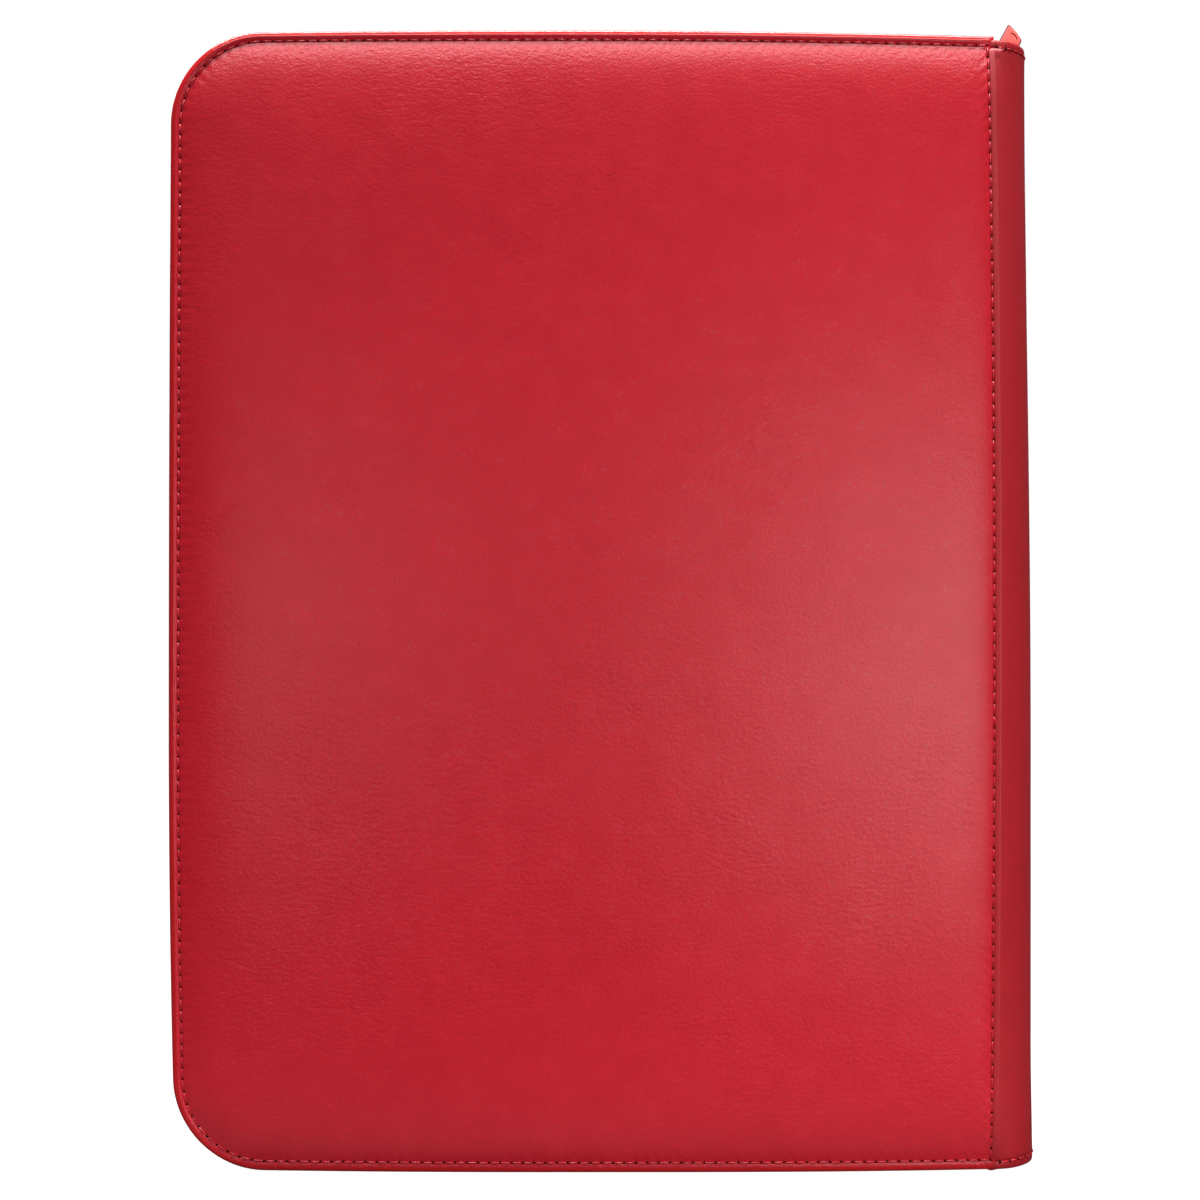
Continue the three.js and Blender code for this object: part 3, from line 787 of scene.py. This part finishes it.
def spine_section():
    """(x, depth) from the strip that covers the edge of the cover, over the fold, to the spine's apex."""
    strip = [(-1.2, 16.9), (-1.9, 17.2), (-2.2, 17.38), (-2.36, 17.52), (-2.38, 17.66), (-2.26, 17.76),
             (-2.0, 17.84), (-1.65, 17.94), (-1.3, 18.04), (-1.0, 18.11), (-0.85, 18.13), (-0.7, 18.11)]
    angles = ARC_START * (1 - np.arange(31) / 30)
    arc = np.stack([SPINE_CENTRE_X + SPINE_RADIUS * np.cos(angles), SPINE_RADIUS * np.sin(angles)], 1)
    return np.concatenate([np.array(strip) + (FOLD_X, 0.0), arc])


def section_normals(section):
    along = np.gradient(section, axis=0)
    along /= np.linalg.norm(along, axis=1)[:, None]
    normals = np.stack([-along[:, 1], along[:, 0]], 1)
    normals[-1] = (1.0, 0.0)
    return normals * np.where((normals @ np.array([0.3, 1.0])) < -0.2, -1, 1)[:, None]


def hem_steps():
    """(height, how far in) up the spine, from the hem turned in at the bottom to the one at the top. Each
    hem goes on over the end of the spine's board and lining."""
    over_board = [(13.5, 5.0), (10.2, 5.0), (9.5, 4.7), (9.3, 4.1), (9.3, 2.4), (9.1, 1.8), (8.6, 1.5)]
    turned = [(6.0, 1.5), (1.6, 1.5), (0.6, 1.38), (0.12, 1.0), (0.0, 0.6), (0.09, 0.3), (0.27, 0.1),
              (0.6, 0.0)]
    groove = [(1.3, -0.03), (1.9, 0.0), (2.2, 0.14), (HEM_STITCH, 0.3), (2.7, 0.14), (3.0, 0.0), (3.6, -0.05),
              (4.6, -0.03), (6.0, 0.0)]
    end = over_board + turned + groove
    body = [(float(z), 0.0) for z in np.linspace(9.0, SPINE_TOP_Z - 9.0, 64)]
    return end + body + [(SPINE_TOP_Z - z, depth) for z, depth in reversed(end)]


def spine_half(side, name):
    """The spine's skin from one cover's seam to its apex; its section turns at the fold."""
    section = spine_section()
    normals = section_normals(section)
    x, w = section.T
    loose = smooth_step(FOLD_X + 1, FOLD_X + 5, x) * smooth_step(0, 6, w)
    past_fold = smooth_step(FOLD_X, FOLD_X + 3, x)
    near_fold = 1 - smooth_step(FOLD_X - 1.5, FOLD_X + 4.5, x)
    rows = []
    for z, depth in hem_steps():
        wobble = 0.07 * ripple(x * 0.5 + w, np.full(len(x), z), 38.0, 5.5) * loose
        inward = np.minimum(depth, 1.5) + max(depth - 1.5, 0) * past_fold
        flat = section - normals * (inward - wobble)[:, None]
        flat[:, 1] -= fold_drop(np.array([min(z, TOP_Z)]))[0] * near_fold
        rows.append(np.column_stack([flat, np.full(len(x), z)]))
    points = np.concatenate(rows)
    points[:, 1] = np.maximum(points[:, 1], 0.0)
    faces = grid_faces(len(rows), len(x))
    piece = new_piece(name, placed(points, side), faces, "spine", "leatherette", side == FRONT)
    thicken(piece, LEATHER)
    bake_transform(piece)
    return piece


def spine_hem_stitching():
    """Two rows of stitches across the spine, one above the bottom hem and one below the top hem."""
    reach = ARC_START * 0.97
    count = round(2 * reach * SPINE_RADIUS / STITCH_PITCH)
    angles = np.linspace(-reach, reach, count + 1)
    out = np.column_stack([np.cos(angles), np.sin(angles), np.zeros(len(angles))])
    threads, plugs = [], []
    for z in (HEM_STITCH, SPINE_TOP_Z - HEM_STITCH):
        holes = settle(out * (SPINE_RADIUS - 0.1) + np.array([SPINE_CENTRE_X, 0, z]))
        threads.append(stitch_row(holes, out))
        plugs.append(needle_holes(holes, out))
    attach(new_piece("spine_hem_stitches", *gather(threads), "thread", "leatherette"), "spine")
    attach(new_piece("spine_hem_needle_holes", *gather(plugs), "hole", "leatherette"), "spine")


# ---- The zip's end tabs and tails

def tab_outline(low, high, point_x):
    """A leaf with a straight left side, a small round point and a fuller right side."""
    left = [(-2.3, low - high), (-2.75, -6.2), (-2.7, -4.75), (-1.9, -3.35), (-1.1, -1.95), (-0.4, -0.7)]
    point = [(-0.2, -0.28), (0.0, -0.04), (0.22, 0.0), (0.5, -0.2)]
    right = [(1.2, -0.95), (1.95, -1.85), (2.65, -2.85), (3.25, -3.8), (3.65, -4.55), (3.8, -5.05),
             (3.74, -5.55), (3.45, -6.15), (3.15, -6.8), (2.9, low - high)]
    return np.array(left + point + right) + np.array([point_x, high])


def tab_slope(z, high, lean):
    """How far back the tab stands at a height: it is upright below its bend and leans back above it."""
    return np.maximum(z - (high - TAB_BEND), 0) * math.tan(math.radians(lean))


def end_tab(name, node, lean, upside_down=False):
    """A leaf of folded leatherette that stands out of the spine, with a cut edge all round."""
    low, high = box_mm(node)
    outline = tab_outline(low[2], high[2], (low[0] + high[0]) / 2)
    if upside_down:
        outline[:, 1] = low[2] + high[2] - outline[:, 1]
        outline = outline[::-1]
    centre = outline.mean(0)
    face = [(0.12, 0.05), (0.3, 0.05), (0.5, 0.04), (0.7, 0.03), (0.88, 0.0), (0.95, -0.1), (1.0, -0.3)]
    profile = [(shrink, -TAB_THICK - rise) for shrink, rise in face]
    profile += [(shrink, TAB_THICK + rise) for shrink, rise in reversed(face)]
    rings = [at_depth(centre + (outline - centre) * shrink, depth) for shrink, depth in profile]
    points = np.concatenate(rings)
    points[:, 1] += tab_slope(points[:, 2], high[2], lean) + TAB_Y
    count = len(outline)
    piece = new_piece(name, points, closed_faces(len(rings), count), "tab", "leatherette")
    piece.data.materials.append(MATERIALS["raw_edge"])
    for face in piece.data.polygons:
        if len(face.vertices) == 4 and 3 < face.vertices[0] // count < 9:
            face.material_index = 1
    stands_for(piece, "spine", node)


def tab_stitch(name, node, lean):
    """The short curved stitch and the single needle hole on the face of the top tab, both in the near-black
    hole material: at the hole this is painted shade.
    """
    low, high = box_mm(node)
    point_x, top = (low[0] + high[0]) / 2, high[2]
    face = TAB_Y - TAB_THICK
    turn = np.linspace(0, 1.35, 12)
    x = point_x + 0.64 + 1.85 * np.sin(turn)
    z = top - 5.4 + 2.6 * np.cos(turn)
    arc = tube(np.column_stack([x, face - 0.02 + tab_slope(z, top, lean), z]), 0.16)
    dot_z = top - 4.9
    dot = np.array([[point_x - 0.14, face + 0.08 + tab_slope(dot_z, top, lean), dot_z]])
    dot = needle_holes(dot, np.array([0.0, -1.0, 0.0]), 0.24)
    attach(new_piece(name, *gather([arc, dot]), "hole", "leatherette"), "spine")


def zip_tail(name, z, bend):
    """The closed end of the two tapes, from where the covers leave them to the tab that holds them."""
    xs = np.linspace(TAPE_END_X + 1.2, TAPE_END_X + 10.5, 14)
    ys = np.linspace(-TAIL_HALF, TAIL_HALF, 9)
    rows = []
    for i, x in enumerate(xs):
        t = i / (len(xs) - 1)
        narrow = 1 - 0.5 * t ** 1.5
        height = z + bend * t ** 2 + 0.12 * np.cos(ys / TAIL_HALF * math.pi)
        rows.append(np.column_stack([np.full(len(ys), x), ys * narrow, height]))
    piece = new_piece(name, np.concatenate(rows), grid_faces(len(rows), len(ys)), "tape", "zip_tape")
    thicken(piece, 0.8, 0.0)
    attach(piece, "spine")


# ---- The zip

def zip_path(inset, end_x, spacing):
    """Points (x, z) and inward normals along the zip, from the spine's top end round to its bottom end."""
    radius = CORNER_RADIUS - inset
    run, turn, edge = end_x - ARC_X, radius * math.pi / 2, ARC_HIGH - CORNER_RADIUS

    def corner(centre_z, start):
        def at(value):
            across, up = math.cos(start + value / radius), math.sin(start + value / radius)
            return (ARC_X + radius * across, centre_z + radius * up), (-across, -up)
        return at

    stretches = ((run, lambda value: ((end_x - value, TOP_Z - inset), (0, -1))),
                 (turn, corner(ARC_HIGH, math.pi / 2)),
                 (edge, lambda value: ((FREE_X + inset, ARC_HIGH - value), (1, 0))),
                 (turn, corner(CORNER_RADIUS, math.pi)),
                 (math.inf, lambda value: ((ARC_X + value, inset), (0, 1))))
    total = 2 * run + 2 * turn + edge
    path = []
    for value in np.linspace(0, total, round(total / spacing) + 1):
        for length, at in stretches:
            if value < length:
                break
            value -= length
        path.append(at(value))
    points, normals = zip(*path)
    return np.array(points), np.array(normals)


def zip_tape(side, prefix, body):
    """The woven tape: a sewn flange on the lining that turns up into the wall that carries the coil."""
    path, inward = zip_path(TAPE_INSET, TAPE_END_X, 2.4)
    foot = INNER_W - 0.42
    section = [(4.4, foot), (2.6, foot + 0.02), (1.0, foot), (0.35, foot - 0.25), (0.05, foot - 0.9)]
    section += [(0.0, depth) for depth in (foot - 2.5, 8.0, 5.5, 3.6, 2.2, 1.1)]
    pucker = ripple(path[:, 0], path[:, 1], 9.0, 4.0 + side)
    rows = []
    for offset, depth in section:
        slack = math.sin(math.pi * min(max((foot - depth) / (foot - 2.2), 0), 1))
        shift = offset + (0.28 * pucker - 0.25) * slack
        rows.append(at_depth(path + inward * shift[:, None], depth))
    faces = grid_faces(len(rows), len(path))
    points = placed(np.concatenate(rows), side)
    piece = new_piece("zip_tape_cloth_" + prefix, points, faces, "tape", "zip_tape", side == BACK)
    thicken(piece, TAPE_THICK, 0.0)
    stands_for(piece, body, "zip_tape_" + prefix)


def coil_teeth(side, prefix, body):
    """One loop of nylon for each tooth, wrapped round the tape's edge."""
    path, inward = zip_path(TAPE_INSET, COIL_END_X, COIL_PITCH)
    if side == FRONT:
        path, inward = (path[1:] + path[:-1]) / 2, (inward[1:] + inward[:-1]) / 2
    loop = [(2.95, 0.78), (1.6, 0.88), (0.7, 0.75), (0.3, 0.38), (0.22, 0.0), (0.3, -0.38), (0.7, -0.75),
            (1.6, -0.88), (2.95, -0.78)]
    radii = [0.34, 0.34, 0.38, 0.44, 0.46, 0.44, 0.38, 0.34, 0.34]
    along = np.stack([inward[:, 1], -inward[:, 0]], 1)
    parts = []
    for point, normal, forward in zip(path, inward, along):
        line = []
        for i, (depth, offset) in enumerate(loop):
            lead = 0.16 * (i / (len(loop) - 1) - 0.5) * COIL_PITCH
            flat = point + normal * offset + forward * lead
            line.append((flat[0], depth, flat[1]))
        parts.append(tube(line, radii))
    points, faces = gather(parts)
    points = placed(points, side)
    piece = new_piece("zip_teeth_" + prefix, points, faces, "nylon", "zip_coil", side == BACK)
    stands_for(piece, body, "zip_coil_" + prefix)


def tape_stitching(side, prefix, body):
    """The stitches that hold the tape's flange to the lining, seen when the binder is open."""
    path, _ = zip_path(TAPE_INSET + FLANGE_STITCHES, TAPE_END_X - 1, STITCH_PITCH)
    holes = placed(at_depth(path, INNER_W - 0.75), side)
    threads = stitch_row(holes, np.array([0.0, -side, 0.0]), 0.25, 0.24, 0.4)
    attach(new_piece("zip_tape_stitches_" + prefix, *threads, "thread", "leatherette"), body)


def softened(node, name, body, width):
    """A copy of a CAD metal piece with rounded edges."""
    mesh = frame["nodes"][node].data.copy()
    work = bmesh.new()
    work.from_mesh(mesh)
    bmesh.ops.remove_doubles(work, verts=work.verts, dist=1e-6)
    bmesh.ops.dissolve_limit(work, angle_limit=math.radians(2), verts=work.verts, edges=work.edges)
    work.to_mesh(mesh)
    work.free()
    mesh.materials.clear()
    mesh.materials.append(MATERIALS["metal"])
    piece = smooth_object(name, mesh, "zip_metal")
    bevel = piece.modifiers.new("rounding", "BEVEL")
    bevel.width = width * MM
    bevel.segments = 3
    bevel.limit_method = "ANGLE"
    bevel.angle_limit = math.radians(28)
    bevel.harden_normals = True
    apply_modifiers(piece)
    stands_for(piece, body, node)


# ---- Pages

def pocket_lines(start, end):
    """Grid positions across three pockets and the welds round them, with the height at each: 0 or 1."""
    size = (end - start - WELD * (POCKETS - 1)) / POCKETS
    lines = []
    for k in range(POCKETS):
        a = start + k * (size + WELD)
        raised = (0.7, 4, size * 0.35, size * 0.65, size - 4, size - 0.7)
        lines += [(a, 0)] + [(a + step, 1) for step in raised] + [(a + size, 0)]
    return lines


def page_mesh(low, high):
    """A page with nine pockets on each side. The free edge is at low x and the bound edge at high x."""
    bound = [(high[0] - MARGIN_BOUND + step, 0) for step in np.linspace(1.5, MARGIN_BOUND, 9)]
    across = [(low[0], 0)] + pocket_lines(low[0] + MARGIN_EDGE, high[0] - MARGIN_BOUND) + bound
    upward = [(low[2], 0)] + pocket_lines(low[2] + MARGIN_EDGE, high[2] - MARGIN_EDGE) + [(high[2], 0)]
    xs, x_high = np.array(across).T
    zs, z_high = np.array(upward).T
    grid_x, grid_z = np.meshgrid(xs, zs)
    raised = np.outer(z_high, x_high)
    at_corner = (grid_x < low[0] + 0.1) & ((grid_z < low[2] + 0.1) | (grid_z > high[2] - 0.1))
    grid_x = np.where(at_corner, grid_x + 1.5, grid_x)
    slack = 0.02 * ripple(grid_x, grid_z, 25.0, 2.2)
    rise = PAGE_HALF + (POCKET_HALF - PAGE_HALF) * raised + slack * raised
    columns, rows = len(xs), len(zs)
    front = np.stack([grid_x.ravel(), rise.ravel(), grid_z.ravel()], 1)
    back = front * np.array([1, -1, 1])
    size = columns * rows
    faces, kinds = [], []
    for i in range(rows - 1):
        for j in range(columns - 1):
            a = i * columns + j
            quad = (a, a + columns, a + columns + 1, a + 1)
            kind = int(raised.ravel()[list(quad)].any())
            faces += [quad, tuple(k + size for k in reversed(quad))]
            kinds += [kind, kind]
    rim = list(range(columns)) + [columns * i + columns - 1 for i in range(1, rows)]
    rim += [columns * (rows - 1) + j for j in range(columns - 2, -1, -1)]
    rim += [columns * i for i in range(rows - 2, 0, -1)]
    for a, b in zip(rim, rim[1:] + rim[:1]):
        faces.append((a, b, b + size, a + size))
        kinds.append(0)
    return np.concatenate([front, back]), faces, kinds


def make_pages():
    names = sorted(node for node in frame["nodes"] if node.startswith("page_") and node[-1].isdigit())
    low, high = box_mm(names[0])
    points, faces, kinds = page_mesh(low, high)
    for node in names:
        low, high = box_mm(node)
        here = points + np.array([0, (low[1] + high[1]) / 2, 0])
        piece = new_piece("pocket_" + node, here, faces, "core", "page_film")
        piece.data.materials.append(MATERIALS["film"])
        piece.data.polygons.foreach_set("material_index", kinds)
        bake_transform(piece)
        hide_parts(node)


# ---- Lights and stage

def softbox(name, place, target, width, height, power, diffuse=True, glossy=True):
    """A lit panel. A fill panel adds no gloss, and a sheen panel adds nothing else."""
    data = bpy.data.lights.new(name, "AREA")
    data.shape = "RECTANGLE"
    data.size, data.size_y, data.energy = width, height, power
    light = bpy.data.objects.new(name, data)
    light.location = place
    light.rotation_euler = (Vector(target) - Vector(place)).to_track_quat("-Z", "Y").to_euler()
    light.visible_camera = False
    light.visible_diffuse, light.visible_glossy = diffuse, glossy
    bpy.context.scene.collection.objects.link(light)


def make_stage():
    """A pale floor and a white dome that only the camera sees, lit panels all round, and the world."""
    bpy.ops.mesh.primitive_circle_add(vertices=96, radius=6.0, fill_type="NGON", location=(0, 0, 0))
    floor = bpy.context.object
    floor.name = "floor"
    floor.data.materials.append(MATERIALS["floor"])
    bpy.ops.mesh.primitive_uv_sphere_add(segments=64, ring_count=32, radius=5.9)
    dome = bpy.context.object
    dome.name = "backdrop"
    white = Nodes("white_backdrop")
    white.set(Base_Color=(0, 0, 0), Emission_Color=(1, 1, 1), Emission_Strength=1.0)
    dome.data.materials.append(white.material)
    for stage in (floor, dome):
        stage.visible_diffuse = stage.visible_glossy = stage.visible_transmission = False
    dome.visible_shadow = False
    centre = (0, 0, MIDDLE_Z * MM)
    top = (0, 0, TOP_Z * MM)
    softbox("light_above", (0.0, -0.19, 1.5), top, 1.7, 0.3, 56)
    softbox("light_edge", (0.0, -0.19, 1.5), top, 1.7, 0.3, 12, diffuse=False)
    softbox("light_crown", (0.0, -1.1, 1.2), top, 1.3, 0.26, 10, diffuse=False)
    softbox("light_front", (0.25, -0.5, 0.14), centre, 0.26, 0.24, 1.9, glossy=False)
    softbox("light_low", (0.0, -0.066, 0.001), (0.0, -0.066, 1.0), 0.5, 0.085, 0.1, glossy=False)
    softbox("light_right", (0.269, -1.25, 0.131), centre, 0.18, 0.1, 0.5)
    softbox("light_left", (-0.28, -1.25, 0.135), centre, 0.08, 0.12, 0.28)
    softbox("light_behind", (-0.4, 1.3, 1.0), centre, 1.4, 1.2, 22)
    world = bpy.data.worlds.new("studio")
    world.use_nodes = True
    background = world.node_tree.nodes["Background"].inputs
    background["Color"].default_value = (1, 1, 1, 1)
    background["Strength"].default_value = 0.08
    bpy.context.scene.world = world
    bpy.context.scene.view_settings.view_transform = "Standard"


def make_cover(side, prefix):
    body = prefix + "_cover"
    cover_skin(side, prefix, body)
    cover_stitching(side, body)
    cover_foam(side, prefix, body)
    flat_layer(side, prefix, body, "board", BOARD_INSET, BOARD_LOW_W, BOARD_TOP_W)
    lining = flat_layer(side, prefix, body, "lining", LINING_INSET, INNER_W, LINING_HIGH_W, 0.2)
    zip_tape(side, prefix, body)
    coil_teeth(side, prefix, body)
    tape_stitching(side, prefix, body)
    for end in ("top", "bottom"):
        node = f"zip_stop_{end}_{prefix}"
        softened(node, node + "_clip", body, 0.5)


def dress(node, material):
    """A carried-over CAD piece keeps its shape and gets a finished material."""
    for slot in frame["nodes"][node].material_slots:
        slot.material = MATERIALS[material]


def make_spine():
    halves = [spine_half(BACK, "spine_skin_back_half"),
              spine_half(FRONT, "spine_skin_front_half")]
    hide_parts("spine_skin")
    spine_hem_stitching()
    end_tab("zip_tab_top", "zip_end_tab_top", TAB_LEAN)
    tab_stitch("zip_tab_top_stitch", "zip_end_tab_top", TAB_LEAN)
    end_tab("zip_tab_bottom", "zip_end_tab_bottom", 0.0, upside_down=True)
    zip_tail("zip_tail_top", TOP_Z - TAPE_INSET - 1.8, -2.0)
    zip_tail("zip_tail_bottom", TAPE_INSET + 1.0, 1.5)
    for layer in ("foam", "board", "lining"):
        dress("spine_" + layer, layer)
    dress("page_binding_strip", "binding")


make_camera()
make_stage()
make_cover(BACK, "back")
make_cover(FRONT, "front")
make_spine()
softened("zip_slider", "zip_slider_body", "slider", 0.35)
softened("zip_pull", "zip_pull_plate", "pull", 0.3)
make_pages()
